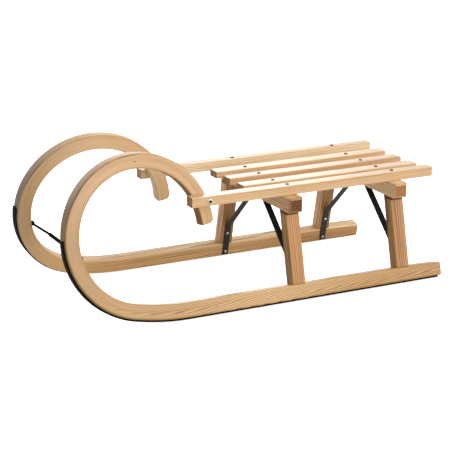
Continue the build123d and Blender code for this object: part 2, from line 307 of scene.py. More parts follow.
# Studio light, floor and the camera of the photograph.
FLOOR_SIZE = 30.0
FLOOR_CLOUDS = (0.4, 0.4, 0.4)
FLOOR_TONES = ((0.86, 0.86, 0.86, 1), (0.90, 0.90, 0.90, 1))
FLOOR_BOUNCE = (0.75, 0.75, 0.75, 1)
FLOOR_GLOW = (0.80, 0.80, 0.80, 1)
SKY_SEEN = 1.0
SKY_MIRRORED = 0.9
SKY_LIGHT = 0.32
SOFT_LIGHTS = (
    ("overhead", (0.7, -0.3, -1.0), 1.3, 70),
    ("camera_side", (0.4, -1.0, -0.10), 2.1, 60),
    ("behind", (0.1, 1.0, -0.33), 2.0, 50),
)
CAMERA_AIM = Vector((-0.00098, 0.0, 0.14304))
CAMERA_TURN = math.radians(26.75)
CAMERA_RISE = math.radians(16.66)
CAMERA_DISTANCE = 3.888
CAMERA_LENS = 123.07
CAMERA_SENSOR = 36.0


def on_sled(side, s, v, w):
    """A point of the runner's own plane: s forward, v up, w towards the middle."""
    return Vector((
        REAR_END + s,
        SIDES[side] * (HALF_SPACING - v * math.sin(CANT) - w * math.cos(CANT)),
        SHOE_LIFT + v * math.cos(CANT) - w * math.sin(CANT),
    ))


def finish_piece(name, bm, materials, replaced=()):
    """Closes a mesh, gives it its finishes and lets it ride with the sled."""
    bmesh.ops.recalc_face_normals(bm, faces=bm.faces)
    mesh = bpy.data.meshes.new(name)
    bm.to_mesh(mesh)
    bm.free()
    for material in materials:
        mesh.materials.append(material)
    piece = bpy.data.objects.new(name, mesh)
    bpy.context.scene.collection.objects.link(piece)
    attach(piece, "root")
    if replaced:
        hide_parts(*replaced)
    return piece


# Shader nodes: small helpers, then the effects that several finishes share.

def fill(tree, node, inputs):
    """Joins a node's inputs to other sockets, or sets them to plain values."""
    for key, value in inputs.items():
        if isinstance(value, bpy.types.NodeSocket):
            tree.links.new(value, node.inputs[key])
        else:
            node.inputs[key].default_value = value


def put(tree, kind, inputs=None, **settings):
    """Adds a node, sets it up and fills its inputs."""
    made = tree.nodes.new(kind)
    for name, value in settings.items():
        setattr(made, name, value)
    fill(tree, made, inputs or {})
    return made


def sums(tree, operation, *values, clamp=False):
    """One step of arithmetic on values or sockets."""
    made = put(tree, "ShaderNodeMath", dict(enumerate(values)), operation=operation,
               use_clamp=clamp)
    return made.outputs[0]


def vectors(tree, operation, *values):
    """One step of arithmetic on places or directions."""
    made = put(tree, "ShaderNodeVectorMath", dict(enumerate(values)), operation=operation)
    return made.outputs


def part_of(tree, vector, axis):
    """One part, X, Y or Z, of a place or direction."""
    return put(tree, "ShaderNodeSeparateXYZ", {0: vector}).outputs[axis]


def place_on(tree):
    """Where on the sled a point of the surface lies."""
    return tree.nodes.new("ShaderNodeTexCoord").outputs["Object"]


def facing(tree, axis):
    """How far a face looks along one axis of the sled."""
    normal = tree.nodes.new("ShaderNodeNewGeometry").outputs["Normal"]
    return part_of(tree, normal, axis)


def stretched_noise(tree, space, stretch, detail=2.0, rough=0.5):
    """Noise with its own count of waves per metre along each direction."""
    scaled = vectors(tree, "MULTIPLY", space, stretch)[0]
    noise = put(tree, "ShaderNodeTexNoise", {
        "Vector": scaled, "Scale": 1.0, "Detail": detail, "Roughness": rough})
    return noise.outputs[0]


def sized_noise(tree, space, size, detail):
    """Noise with waves of one size, in metres."""
    scale = sums(tree, "DIVIDE", 1.0, size)
    scaled = put(tree, "ShaderNodeVectorMath", {0: space, "Scale": scale}, operation="SCALE")
    noise = put(tree, "ShaderNodeTexNoise", {
        "Vector": scaled.outputs[0], "Scale": 1.0, "Detail": detail})
    return noise.outputs[0]


def eased(tree, value, none, full):
    """0 up to the first value, 1 from the second and a soft change between them."""
    made = put(tree, "ShaderNodeMapRange", {"Value": value, "From Min": none, "From Max": full},
               interpolation_type="SMOOTHSTEP")
    return made.outputs[0]


def mixed(tree, share, first, second, blend="MIX"):
    """The first colour, with a share of the second laid over it."""
    made = put(tree, "ShaderNodeMix", {0: share, 6: first, 7: second}, data_type="RGBA",
               blend_type=blend, clamp_factor=True)
    return made.outputs[2]


def new_group(name, takes, gives):
    """An empty node group with named sockets."""
    group = bpy.data.node_groups.new(name, "ShaderNodeTree")
    for label, kind, value in takes:
        socket = group.interface.new_socket(label, in_out="INPUT", socket_type=kind)
        if value is not None:
            socket.default_value = value
    for label, kind in gives:
        group.interface.new_socket(label, in_out="OUTPUT", socket_type=kind)
    return group, group.nodes.new("NodeGroupInput").outputs, group.nodes.new("NodeGroupOutput")


def make_ash_figure():
    """Growth rings, streaks, fibres, pores and pin knots, with the grain along the first axis."""
    group, takes, gives = new_group("ash_figure", [
        ("Grain Space", "NodeSocketVector", None),
        ("Heart", "NodeSocketVector", (0.0, 0.02, 0.05)),
        ("Ring Spacing", "NodeSocketFloat", 0.006),
        ("Ring Sway", "NodeSocketFloat", 0.012),
        ("Ring Depth", "NodeSocketFloat", 0.5),
        ("Run Out", "NodeSocketFloat", 0.0),
        ("Streak Depth", "NodeSocketFloat", 0.6),
        ("Fibre Depth", "NodeSocketFloat", 0.4),
        ("Pale Wood", "NodeSocketColor", linear(225, 190, 145)),
        ("Dark Wood", "NodeSocketColor", linear(170, 120, 70)),
    ], [
        ("Color", "NodeSocketColor"),
        ("Height", "NodeSocketFloat"),
        ("Roughness", "NodeSocketFloat"),
    ])
    space = takes["Grain Space"]

    def swing(wave):
        return sums(group, "SUBTRACT", wave, 0.5)

    # Age in years at each point: distance from the heart, leaning and swaying along the grain.
    off_heart = vectors(group, "SUBTRACT", space, takes["Heart"])[0]
    across = vectors(group, "MULTIPLY", off_heart, (0.0, 1.0, 1.0))[0]
    distance = vectors(group, "LENGTH", across)["Value"]
    along = part_of(group, space, "X")
    leaning = sums(group, "MULTIPLY_ADD", along, takes["Run Out"], distance)
    sway = swing(stretched_noise(group, space, SWAY_WAVES))
    swayed = sums(group, "ADD", leaning, sums(group, "MULTIPLY", sway, takes["Ring Sway"]))
    age = sums(group, "DIVIDE", swayed, takes["Ring Spacing"])
    uneven = swing(stretched_noise(group, space, UNEVEN_WAVES, 1.0))
    age = sums(group, "MULTIPLY_ADD", uneven, UNEVEN_YEARS, age)
    year = sums(group, "FRACT", age)
    late = sums(group, "MULTIPLY", eased(group, year, *LATE_WOOD), eased(group, year, *YEAR_END))
    strength = eased(group, stretched_noise(group, space, RING_WAVES, 1.0), *RING_RANGE)
    ring = sums(group, "MULTIPLY", late, strength)

    # How dark each point is, and the colours that follow from it.
    streak = stretched_noise(group, space, STREAK_WAVES, 3.0, 0.55)
    fibre = stretched_noise(group, space, FIBRE_WAVES, 2.0, 0.6)
    pore = eased(group, stretched_noise(group, space, PORE_WAVES, 1.0), *PORE_RANGE)
    cloud = stretched_noise(group, space, CLOUD_WAVES, 1.0)
    share = sums(group, "MULTIPLY", ring, takes["Ring Depth"])
    for wave, depth in ((streak, takes["Streak Depth"]), (fibre, takes["Fibre Depth"]),
                        (cloud, CLOUD_DEPTH)):
        share = sums(group, "MULTIPLY_ADD", swing(wave), depth, share)
    share = sums(group, "MULTIPLY_ADD", pore, PORE_DEPTH, share)
    share = sums(group, "ADD", share, MIDDLE_SHARE, clamp=True)
    knot_space = vectors(group, "MULTIPLY", space, KNOT_WAVES)[0]
    knot_gap = put(group, "ShaderNodeTexVoronoi", {"Vector": knot_space, "Scale": 1.0})
    knot = eased(group, knot_gap.outputs["Distance"], *KNOT_RANGE)
    colour = mixed(group, share, takes["Pale Wood"], takes["Dark Wood"])
    fill(group, gives, {
        "Color": mixed(group, sums(group, "MULTIPLY", knot, KNOT_SHARE), colour, KNOT_TONE),
        "Height": sums(group, "SUBTRACT", sums(group, "MULTIPLY", fibre, FIBRE_HEIGHT),
                       sums(group, "MULTIPLY", pore, PORE_SINK)),
        "Roughness": sums(group, "MULTIPLY_ADD", share, DARK_WOOD_ROUGH, VARNISH_ROUGH),
    })
    return group


def make_sawn_end():
    """Where a board is sawn across its grain: a mask that is 1 on the sawn end."""
    group, takes, gives = new_group("sawn_end", [
        ("Grain Axis", "NodeSocketVector", (1.0, 0.0, 0.0)),
    ], [("Mask", "NodeSocketFloat")])
    normal = group.nodes.new("ShaderNodeNewGeometry").outputs["Normal"]
    turned = vectors(group, "DOT_PRODUCT", normal, takes["Grain Axis"])["Value"]
    fill(group, gives, {"Mask": eased(group, sums(group, "ABSOLUTE", turned), *SAWN_TURN)})
    return group


def make_speckle():
    """Fine grain of a sprayed or plated skin, with a few worn, dusty patches."""
    group, takes, gives = new_group("coat_speckle", [
        ("Place", "NodeSocketVector", None),
        ("Grain Size", "NodeSocketFloat", 0.0016),
        ("Patch Size", "NodeSocketFloat", 0.05),
    ], [("Grain", "NodeSocketFloat"), ("Patch", "NodeSocketFloat")])
    grain = sized_noise(group, takes["Place"], takes["Grain Size"], 2.0)
    patch = sized_noise(group, takes["Place"], takes["Patch Size"], 4.0)
    fill(group, gives, {"Grain": grain, "Patch": eased(group, patch, *PATCH_RANGE)})
    return group


ASH_FIGURE = make_ash_figure()
SAWN_END = make_sawn_end()
COAT_SPECKLE = make_speckle()


# Finishes.

def blank_material(name):
    """A new material with its nodes and its surface shader."""
    material = bpy.data.materials.new(name)
    material.use_nodes = True
    tree = material.node_tree
    return material, tree, tree.nodes["Principled BSDF"]


def varnished_ash(name, space, sawn, figure, fades, end_grain, coat):
    """Clear-varnished ash on a grain space, darker where a mask says that it is sawn across."""
    material, tree, surface = blank_material(name)
    values = {"Grain Space": space(tree), **figure}
    if fades:
        values.update(fades(tree))
    sawn_here = sums(tree, "MULTIPLY", sawn(tree), SAWN_SHARE)
    dull = sawn_here
    if "Dull" in values:
        worn = values.pop("Dull")
        dull = sums(tree, "MAXIMUM", worn, sawn_here)
        specular = sums(tree, "MULTIPLY_ADD", worn, DULL_SPECULAR - SPECULAR, SPECULAR)
        fill(tree, surface, {"Specular IOR Level": specular})
    wood = put(tree, "ShaderNodeGroup", values, node_tree=ASH_FIGURE).outputs
    across_grain = mixed(tree, 1.0, wood["Color"], end_grain, "MULTIPLY")
    bump = put(tree, "ShaderNodeBump", {"Height": wood["Height"], **GRAIN_BUMP})
    fill(tree, surface, {
        "Base Color": mixed(tree, sawn_here, wood["Color"], across_grain),
        "Roughness": sums(tree, "MAXIMUM", wood["Roughness"], sawn_here),
        "Normal": bump.outputs[0],
        "Coat Weight": sums(tree, "MULTIPLY_ADD", dull, -coat, coat),
        "Coat Roughness": COAT_ROUGHNESS,
    })
    return material


def board_ash(node_name, turn, axis, tones, figure, heart, fades=None, end_grain=END_GRAIN):
    """Ash of one straight board: grain turned to its length, rings round a heart near it."""
    low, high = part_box(node_name)

    def space(tree):
        centred = vectors(tree, "SUBTRACT", place_on(tree), (low + high) / 2)[0]
        turned = {"Vector": centred, "Rotation": turn, "Location": (heart[0], 0.0, 0.0)}
        return put(tree, "ShaderNodeMapping", turned).outputs[0]

    def sawn(tree):
        cut = put(tree, "ShaderNodeGroup", {"Grain Axis": axis}, node_tree=SAWN_END)
        return cut.outputs["Mask"]

    pale, dark = tones
    figure = {**figure, "Heart": heart, "Pale Wood": linear(*pale), "Dark Wood": linear(*dark)}
    return varnished_ash(f"ash_{node_name}", space, sawn, figure, fades, end_grain, BOARD_COAT)


def leg_shade(seat, tones, front_tones_and_light):
    """The leg's front face in a tone that is partly its own and partly painted light, and painted
    shade, dull and dark, in the corner below the joint.
    """
    def fades(tree):
        height = part_of(tree, place_on(tree), "Z")
        # Painted shade in the corner below the joint.
        near = eased(tree, height, seat - SEAM_SHADE_START, seat - SEAM_SHADE_FULL)
        near = sums(tree, "MULTIPLY", near, SEAM_SHADE_SHARE)
        # The front face's tone, partly painted light.
        front = eased(tree, facing(tree, "X"), *FACE_TURN)
        pale, dark = (mixed(tree, front, linear(*tone), linear(*front_tone_and_light))
                      for tone, front_tone_and_light in zip(tones, front_tones_and_light))
        return {"Pale Wood": mixed(tree, near, pale, SEAM_SHADE_TONE),
                "Dark Wood": mixed(tree, near, dark, SEAM_SHADE_TONE), "Dull": near}

    return fades


def slat_shade(side_tone, shaded_top_tone, worn):
    """A slat whose top is worn duller than its sides, in a tone of its own that is painted shade.
    """
    def fades(tree):
        # The top's own tone is painted shade.
        top = eased(tree, facing(tree, "Z"), *FACE_TURN)
        return {"Pale Wood": mixed(tree, top, linear(*side_tone), linear(*shaded_top_tone)),
                "Dull": sums(tree, "MULTIPLY", top, worn)}

    return fades


def toned(tree, along, start, stops):
    """Colour that changes along a bar, from one place to the next."""
    colour = linear(*stops[0][1])
    for (place, _), (next_place, tone) in zip(stops, stops[1:]):
        change = eased(tree, along, start + place, start + next_place)
        colour = mixed(tree, change, colour, linear(*tone))
    return colour


def bent_ash(side):
    """Ash of a bent runner, on the grain space of its mesh: paler up the horn, partly as painted
    light, and plainer there.
    """
    start = GRAIN_STARTS[side]
    end = start + BAR_LENGTH

    def space(tree):
        return put(tree, "ShaderNodeAttribute", attribute_name="grain_space").outputs["Vector"]

    def sawn(tree):
        along = part_of(tree, space(tree), "X")
        none, full = SAWN_SKIN
        tail = eased(tree, along, start + none, start + full)
        tip = eased(tree, along, end - none, end - full)
        return sums(tree, "ADD", tail, tip, clamp=True)

    def fades(tree):
        grain = space(tree)
        along = part_of(tree, grain, "X")
        out = part_of(tree, grain, "Y")

        def from_place(none, full):
            return eased(tree, along, start + none, start + full)

        up_horn = from_place(*HORN_FADE)
        dull = sums(tree, "MULTIPLY", eased(tree, out, *CONVEX_FACE), up_horn)
        # Painted shade on the convex face, in cloudy patches.
        cloud = stretched_noise(tree, grain, CONVEX_SHADE_WAVES)
        cloud = sums(tree, "MULTIPLY_ADD", cloud, CONVEX_SHADE_SPREAD, CONVEX_SHADE_LEAST, clamp=True)
        convex_shade = mixed(tree, from_place(*CONVEX_SHADE_CHANGE), CONVEX_SHADE_LOW, CONVEX_SHADE_HIGH)
        # Tones along the bar, partly painted light and shade.
        pale = toned(tree, along, start, RUNNER_TONES_AND_LIGHT[side])
        convex_shaded = mixed(tree, 1.0, pale, convex_shade, "MULTIPLY")
        pale = mixed(tree, sums(tree, "MULTIPLY", dull, cloud), pale, convex_shaded)

        lifted = eased(tree, stretched_noise(tree, grain, LIFTED_WAVES), *LIFTED_RANGE)
        limits = [eased(tree, out, *depths) for depths in LIFTED_DEPTHS]
        limits += [from_place(*places) for places in LIFTED_PLACES]
        for limit in limits:
            lifted = sums(tree, "MULTIPLY", lifted, limit)
        lifted = sums(tree, "MULTIPLY", lifted, LIFTED_SHARE)
        pale = mixed(tree, lifted, pale, LIFTED_TONE)

        # The concave face's tone, partly painted shade and painted light.
        concave_tone_and_light, none, full, worn = CONCAVE_TONE_AND_LIGHT[side]
        inner = sums(tree, "MULTIPLY", eased(tree, out, *CONCAVE_FACE), from_place(none, full))
        pale = mixed(tree, inner, pale, linear(*concave_tone_and_light))
        dull = sums(tree, "MAXIMUM", dull, sums(tree, "MULTIPLY", inner, worn))
        rings = sums(tree, "MULTIPLY_ADD", up_horn, HORN_RINGS - RUNNER_RINGS, RUNNER_RINGS)
        return {"Ring Depth": rings, "Pale Wood": pale, "Dull": dull,
                "Dark Wood": mixed(tree, 1.0, pale, DARK_SHARE, "MULTIPLY")}

    figure = {**BENT_FIGURE, "Heart": BENT_HEARTS[side], "Run Out": BENT_RUN_OUT[side]}
    return varnished_ash(f"ash_runner_{side}", space, sawn, figure, fades, END_GRAIN, RUNNER_COAT)


def coated(name, colour, worn, rough, metal, grain_size, patch_size, depth, shine, shaded_side=None):
    """Painted, moulded or plated skin: a fine grain, changes of gloss and perhaps one side
    darkened and less shiny as painted shade.
    """
    material, tree, surface = blank_material(name)
    speckle = {"Place": place_on(tree), "Grain Size": grain_size, "Patch Size": patch_size}
    skin = put(tree, "ShaderNodeGroup", speckle, node_tree=COAT_SPECKLE).outputs
    skin_colour = mixed(tree, sums(tree, "MULTIPLY", skin["Patch"], WORN_SHARE), colour, worn)
    if shaded_side:
        shaded_side_mask = eased(tree, sums(tree, "MULTIPLY", facing(tree, "Y"), shaded_side), *SHADED_SIDE_TURN)
        shaded_side_share = sums(tree, "MULTIPLY", shaded_side_mask, SHADED_SIDE_SHARE)
        skin_colour = mixed(tree, shaded_side_share, skin_colour, SHADED_SIDE_TONE)
        shine = sums(tree, "MULTIPLY_ADD", shaded_side_mask, -SHADED_SIDE_SHINE_LOSS * shine, shine)
    gloss = sums(tree, "ADD", rough, sums(tree, "MULTIPLY", skin["Patch"], PATCH_ROUGH))
    gloss = sums(tree, "ADD", gloss, sums(tree, "MULTIPLY", skin["Grain"], GRAIN_ROUGH))
    bump = put(tree, "ShaderNodeBump", {
        "Height": skin["Grain"], "Strength": depth, "Distance": SKIN_BUMP})
    fill(tree, surface, {"Base Color": skin_colour, "Roughness": gloss, "Metallic": metal,
                         "Specular IOR Level": shine, "Normal": bump.outputs[0]})
    return material


skins = {name: coated(name, *values) for name, values in SKINS.items()}
# Each strap's outer side gets painted shade.
black_straps = {side: coated(f"black_strap_{side}", *SKINS["black_coat"], shaded_side=sign)
                for side, sign in SIDES.items()}

finishes = {}
for slat, (tones, heart_place) in SLAT_ASH.items():
    top_shade = slat_shade(tones[0], *SLAT_TOPS_SHADED[slat]) if slat in SLAT_TOPS_SHADED else None
    finishes[slat] = board_ash(slat, (0.0, 0.0, 0.0), (1.0, 0.0, 0.0), tones, SLAT_FIGURE,
                               heart_place, top_shade)
for bar, (tones, heart_place, end_tone) in CROSSBAR_ASH.items():
    finishes[bar] = board_ash(bar, (0.0, 0.0, math.radians(-90)), (0.0, 1.0, 0.0), tones,
                              BAR_FIGURE, heart_place, end_grain=end_tone)
for side_name, side_sign in SIDES.items():
    leg_turn = (-side_sign * CANT, math.radians(90), 0.0)
    leg_axis = (0.0, -side_sign * math.sin(CANT), math.cos(CANT))
    tones = LEG_TONES[side_name]
    for leg in (f"leg_front_{side_name}", f"leg_rear_{side_name}"):
        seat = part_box(leg.replace("leg", "crossbar").replace(f"_{side_name}", ""))[0].z
        shade = leg_shade(seat, tones, LEG_FRONT_TONES_AND_LIGHT[side_name])
        finishes[leg] = board_ash(leg, leg_turn, leg_axis, tones, LEG_FIGURE, LEG_HEARTS[leg],
                                  shade)
    for brace in (f"brace_front_{side_name}", f"brace_rear_{side_name}"):
        finishes[brace] = black_straps[side_name]
    finishes[f"tow_rod_screw_{side_name}"] = skins["black_coat"]
for node_name, finish in finishes.items():
    for place in nodes[node_name].material_slots:
        place.material = finish


# Bent runners and their shoes: straight bars, cut into short lengths and bent along one line.

def horn_centre(share):
    """Middle line of the free horn, from its start, 0, to its tip, 1."""
    turn = HORN_START + (HORN_END - HORN_START) * share
    radius = LOOP_BEND + TIP_OPENING * share ** 3
    return Vector((LOOP_CENTRE + radius * math.cos(turn), LOOP_HEIGHT + radius * math.sin(turn),
                   HORN_DRIFT * share ** 1.5))


def corner_pull(gap, radius):
    """How far a rounded corner stands back at a distance from the bar's end."""
    short = max(0.0, radius - gap)
    return radius - math.sqrt(max(0.0, radius ** 2 - short ** 2))


def horn_place(along, out, across):
    """Where a point of the free horn comes to lie, measured from the horn's start."""
    beyond = max(0.0, along - HORN_LENGTH)
    share = min(1.0, along / HORN_LENGTH)
    step = 0.001
    ahead = horn_centre(min(1.0, share + step)) - horn_centre(max(0.0, share - step))
    turn = HORN_START + (HORN_END - HORN_START) * share
    outward = Vector((math.cos(turn), math.sin(turn), 0.0))
    outward = (outward - ahead * (outward.dot(ahead) / ahead.length_squared)).normalized()
    sideways = outward.cross(ahead).normalized()
    if sideways.z < 0:
        sideways.negate()
    roll = HORN_ROLL * math.sin(math.pi * share)
    outward, sideways = (outward * math.cos(roll) - sideways * math.sin(roll),
                         sideways * math.cos(roll) + outward * math.sin(roll))
    if out > 0:
        out *= 1 - (1 - TIP_DEPTH / BAR_DEPTH) * share ** 2
    if beyond:
        pared = corner_pull(TIP_ROUND - beyond, TIP_ROUND)
        out = (out + TIP_DEPTH / 2) * (1 - pared / TIP_DEPTH) - TIP_DEPTH / 2
    return horn_centre(share) + ahead.normalized() * beyond + outward * out + sideways * across


def bent_place(along, out, across):
    """Where a point of the straight bar comes to lie once the bar is bent."""
    if along <= BEND_START:
        left = max(0.0, 1 - along / TAIL_LENGTH)
        if out < 0:
            out *= 1 - TAIL_DROP * left ** 2 / (BAR_DEPTH / 2)
        return along, BAR_MIDDLE - out, across
    along -= BEND_START
    if along <= ENTRY_LENGTH:
        turn = along / (ENTRY_RADIUS - BAR_MIDDLE)
        radius = ENTRY_RADIUS - BAR_MIDDLE + out
        return (BEND_START + radius * math.sin(turn), ENTRY_RADIUS - radius * math.cos(turn),
                across)
    along -= ENTRY_LENGTH
    if along <= LOOP_LENGTH:
        turn = math.radians(-90) + ENTRY_TURN + along / LOOP_BEND
        radius = LOOP_BEND + out
        return (LOOP_CENTRE + radius * math.cos(turn), LOOP_HEIGHT + radius * math.sin(turn),
                across)
    return horn_place(along - LOOP_LENGTH, out, across)


def even_steps(start, length, count):
    """Places that divide a length into equal steps."""
    return [start + length * i / count for i in range(1, count + 1)]


def bar_cuts():
    """Places along the bar where it is cut into short lengths to bend."""
    cuts = even_steps(0.0, TAIL_LENGTH, TAIL_CUTS)
    cuts += [BEND_START] + even_steps(BEND_START, ENTRY_LENGTH, ENTRY_CUTS)
    cuts += even_steps(BEND_START + ENTRY_LENGTH, LOOP_LENGTH + HORN_LENGTH, BEND_CUTS)
    for i in range(1, TIP_CUTS):
        cuts.append(BAR_LENGTH - TIP_ROUND * (1 - math.sin(math.radians(90 * i / TIP_CUTS))))
    cuts.append(TIP_EDGE)
    for part in EDGE_CUTS:
        cuts += [TIP_EDGE * part, BAR_LENGTH - TIP_EDGE * part]
    return sorted(cuts)


def straight_bar(start, length, out, depth, width):
    """A straight square bar: its start and length, how far out it lies, its depth and width."""
    bm = bmesh.new()
    bmesh.ops.create_cube(bm, size=1.0)
    bmesh.ops.scale(bm, vec=(length, depth, width), verts=bm.verts)
    bmesh.ops.translate(bm, vec=(start + length / 2, out, 0), verts=bm.verts)
    return bm


def ease_edges(bm, edges, offset, steps):
    """Rounds some edges."""
    bmesh.ops.bevel(bm, geom=edges, offset=offset, affect="EDGES", segments=steps, profile=0.5,
                    material=-1)


def cut_across(bm, point, axis):
    """Cuts the whole mesh once, square to an axis."""
    everything = bm.verts[:] + bm.edges[:] + bm.faces[:]
    bmesh.ops.bisect_plane(bm, geom=everything, plane_co=point, plane_no=axis)


def finish_bent(name, bm, material, node_name):
    """Finishes a bent piece with smooth faces that catch the light evenly."""
    for face in bm.faces:
        face.smooth = True
    piece = finish_piece(name, bm, [material], [node_name])
    even = piece.modifiers.new("even_faces", "WEIGHTED_NORMAL")
    even.keep_sharp = True


def bent_runner(side):
    """Ash bar with rounded edges, bent up into the horn; its mesh keeps the grain's own space."""
    bm = straight_bar(0.0, BAR_LENGTH, 0.0, BAR_DEPTH, BAR_WIDTH)
    long_edges = [e for e in bm.edges
                  if abs(e.verts[0].co.x - e.verts[1].co.x) > BAR_LENGTH / 2]
    inner_edges = [e for e in long_edges if e.verts[0].co.y < 0]
    outer_edges = [e for e in long_edges if e.verts[0].co.y > 0 and e.verts[0].co.z > 0]
    worn_edges = [e for e in long_edges if e.verts[0].co.y > 0 and e.verts[0].co.z < 0]
    ease_edges(bm, inner_edges, INNER_ROUNDING, BAR_EDGE_STEPS)
    ease_edges(bm, outer_edges, OUTER_ROUNDING, BAR_EDGE_STEPS)
    ease_edges(bm, worn_edges, WORN_ROUNDING, BAR_EDGE_STEPS)
    for cut in bar_cuts():
        cut_across(bm, (cut, 0, 0), (1, 0, 0))
    grain = bm.verts.layers.float_vector.new("grain_space")
    for vert in bm.verts:
        along, out, across = vert.co
        vert[grain] = Vector((along + GRAIN_STARTS[side], out, across))
        eased_back = corner_pull(min(along, BAR_LENGTH - along), TIP_EDGE)
        out *= 1 - eased_back / (BAR_DEPTH / 2)
        across *= 1 - eased_back / (BAR_WIDTH / 2)
        vert.co = on_sled(side, *bent_place(along, out, across))
    finish_bent(f"bent_runner_{side}", bm, bent_ash(side), f"runner_{side}")


def steel_shoe(side):
    """Black strip bent round under the runner, its underside worn level by the snow."""
    middle = (BAR_DEPTH + SHOE_THICKNESS) / 2
    bm = straight_bar(SHOE_SETBACK, SHOE_LENGTH, middle, SHOE_THICKNESS, SHOE_WIDTH)
    ease_edges(bm, bm.edges[:], SHOE_EDGE, STEEL_EDGE_STEPS)
    for cut in bar_cuts():
        cut_across(bm, (cut, 0, 0), (1, 0, 0))
    for vert in bm.verts:
        along, out, across = vert.co
        if out > middle:
            out += SHOE_WEAR * (0.5 - across / SHOE_WIDTH)
        vert.co = on_sled(side, *bent_place(along, out, across))
    finish_bent(f"steel_shoe_{side}", bm, skins["black_shoe"],
                f"runner_shoe_{side}")


for side_name in SIDES:
    bent_runner(side_name)
    steel_shoe(side_name)


# Screws, bolts and the tow rod.

def cross_recess(turn, size):
    """Half width of a cross-shaped driver recess at an angle."""
    return size * (CROSS_WAIST + (1 - CROSS_WAIST) * abs(math.cos(2 * turn)) ** 3)


def hex_recess(turn, size):
    """Half width of a six-sided driver recess at an angle."""
    return size / math.cos((turn + math.radians(30)) % math.radians(60) - math.radians(30))


# Each screw: shape, size and depth of its driver recess, then its head.
SLAT_SCREW = (cross_recess, 0.0024, 0.0014, OVAL_HEAD)
STRAP_SCREW = (cross_recess, 0.0021, 0.0012, PAN_HEAD)
SHOE_SCREW = (cross_recess, 0.0024, 0.0012, COUNTERSUNK)
HORN_BOLT = (hex_recess, 0.0034, 0.0028, DOME_HEAD)


def screw_head(bm, place, recess, recess_size, recess_depth, rings):
    """A round head from its driver recess outwards, seat at the foot of place's own z axis."""
    top = rings[0][1]
    made = bmesh.ops.create_circle(bm, cap_ends=True, cap_tris=False, segments=HEAD_STEPS,
                                   radius=1.0)
    verts = made["verts"]
    for vert in verts:
        turn = math.atan2(vert.co.y, vert.co.x)
        reach = recess(turn, recess_size) * RECESS_DRAFT
        vert.co = Vector((math.cos(turn) * reach, math.sin(turn) * reach, top - recess_depth))
    everything = list(verts)
    edges = [e for e in bm.edges if e.is_boundary and all(v in verts for v in e.verts)]
    for step, (radius, height) in enumerate([(None, top)] + rings[1:]):
        grown = bmesh.ops.extrude_edge_only(bm, edges=edges)["geom"]
        verts = [g for g in grown if isinstance(g, bmesh.types.BMVert)]
        edges = [g for g in grown if isinstance(g, bmesh.types.BMEdge)]
        for vert in verts:
            turn = math.atan2(vert.co.y, vert.co.x)
            reach = recess(turn, recess_size) if radius is None else radius
            vert.co = Vector((math.cos(turn) * reach, math.sin(turn) * reach, height))
        everything += verts
        # The recess faces take the second finish, painted shade.
        for face in {face for vert in (verts if step else everything) for face in vert.link_faces}:
            face.material_index = 0 if step else 1
    bmesh.ops.contextual_create(bm, geom=edges)
    bmesh.ops.transform(bm, matrix=place, verts=everything)


def stood_on(point, upward):
    """Placement with its z axis along upward, at a point of the sled."""
    turned = Vector(upward).to_track_quat("Z", "Y").to_matrix().to_4x4()
    return Matrix.Translation(Vector(point)) @ turned


def centre_of(node_name):
    """Middle, lowest and highest corner of a CAD node."""
    low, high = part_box(node_name)
    return (low + high) / 2, low, high


def slat_screws():
    """Dark screws through the slats into both crossbars."""
    bm = bmesh.new()
    for bar in CROSSBARS:
        row = centre_of(bar)[0].x
        for slat in SLAT_ASH:
            middle, _, high = centre_of(slat)
            screw_head(bm, stood_on((row, middle.y, high.z), (0, 0, 1)), *SLAT_SCREW)
    finish_piece("slat_screws", bm, [skins["dark_screw"], skins["socket_shade"]])


def strap_screws(side):
    """Bright screws through the straps, into runner and leg and up into the crossbars."""
    bm = bmesh.new()
    inward = on_sled(side, 0, 0, 1) - on_sled(side, 0, 0, 0)
    for place in LEG_PLACES:
        for height in STRAP_FOOT_SCREWS:
            seat = on_sled(side, place, height, LEG_HALF_DEPTH + STRAP_THICKNESS)
            screw_head(bm, stood_on(seat, inward), *STRAP_SCREW)
    for bar in CROSSBARS:
        middle, low, _ = centre_of(bar)
        seat = (middle.x, SIDES[side] * STRAP_TAB_SCREW, low.z - STRAP_THICKNESS)
        screw_head(bm, stood_on(seat, (0, 0, -1)), *STRAP_SCREW)
    finish_piece(f"strap_screws_{side}", bm, [skins["bright_zinc"], skins["socket_shade"]])


def shoe_screws(side):
    """Bright countersunk screws that hold the shoe."""
    bm = bmesh.new()
    down = on_sled(side, 0, -1, 0) - on_sled(side, 0, 0, 0)
    for place in SHOE_SCREWS:
        seat = on_sled(side, place, -SHOE_WEAR / 2, 0)
        screw_head(bm, stood_on(seat, down), *SHOE_SCREW)
    finish_piece(f"shoe_screws_{side}", bm, [skins["bright_zinc"], skins["socket_shade"]])


def horn_bolt(side):
    """Domed bolt with a six-sided socket, through the slat into the horn."""
    middle, low, high = centre_of(f"horn_bolt_{side}")
    sign = SIDES[side]
    slat_low, slat_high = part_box(f"seat_slat_outer_{side}")
    slat_face = max(abs(slat_low.y), abs(slat_high.y))
    bolt_end = min(abs(low.y), abs(high.y))
    outward = (0, sign, 0)
    bm = bmesh.new()
    screw_head(bm, stood_on((middle.x, sign * slat_face, middle.z), outward), *HORN_BOLT)
    shank = bmesh.ops.create_cone(bm, cap_ends=True, segments=SHANK_STEPS, radius1=SHANK_RADIUS,
                                  radius2=SHANK_RADIUS, depth=slat_face - bolt_end)
    shank_middle = (middle.x, sign * (slat_face + bolt_end) / 2, middle.z)
    bmesh.ops.transform(bm, verts=shank["verts"], matrix=stood_on(shank_middle, outward))
    finish_piece(f"dome_bolt_{side}", bm, [skins["bright_zinc"], skins["socket_shade"]],
                 [f"horn_bolt_{side}"])


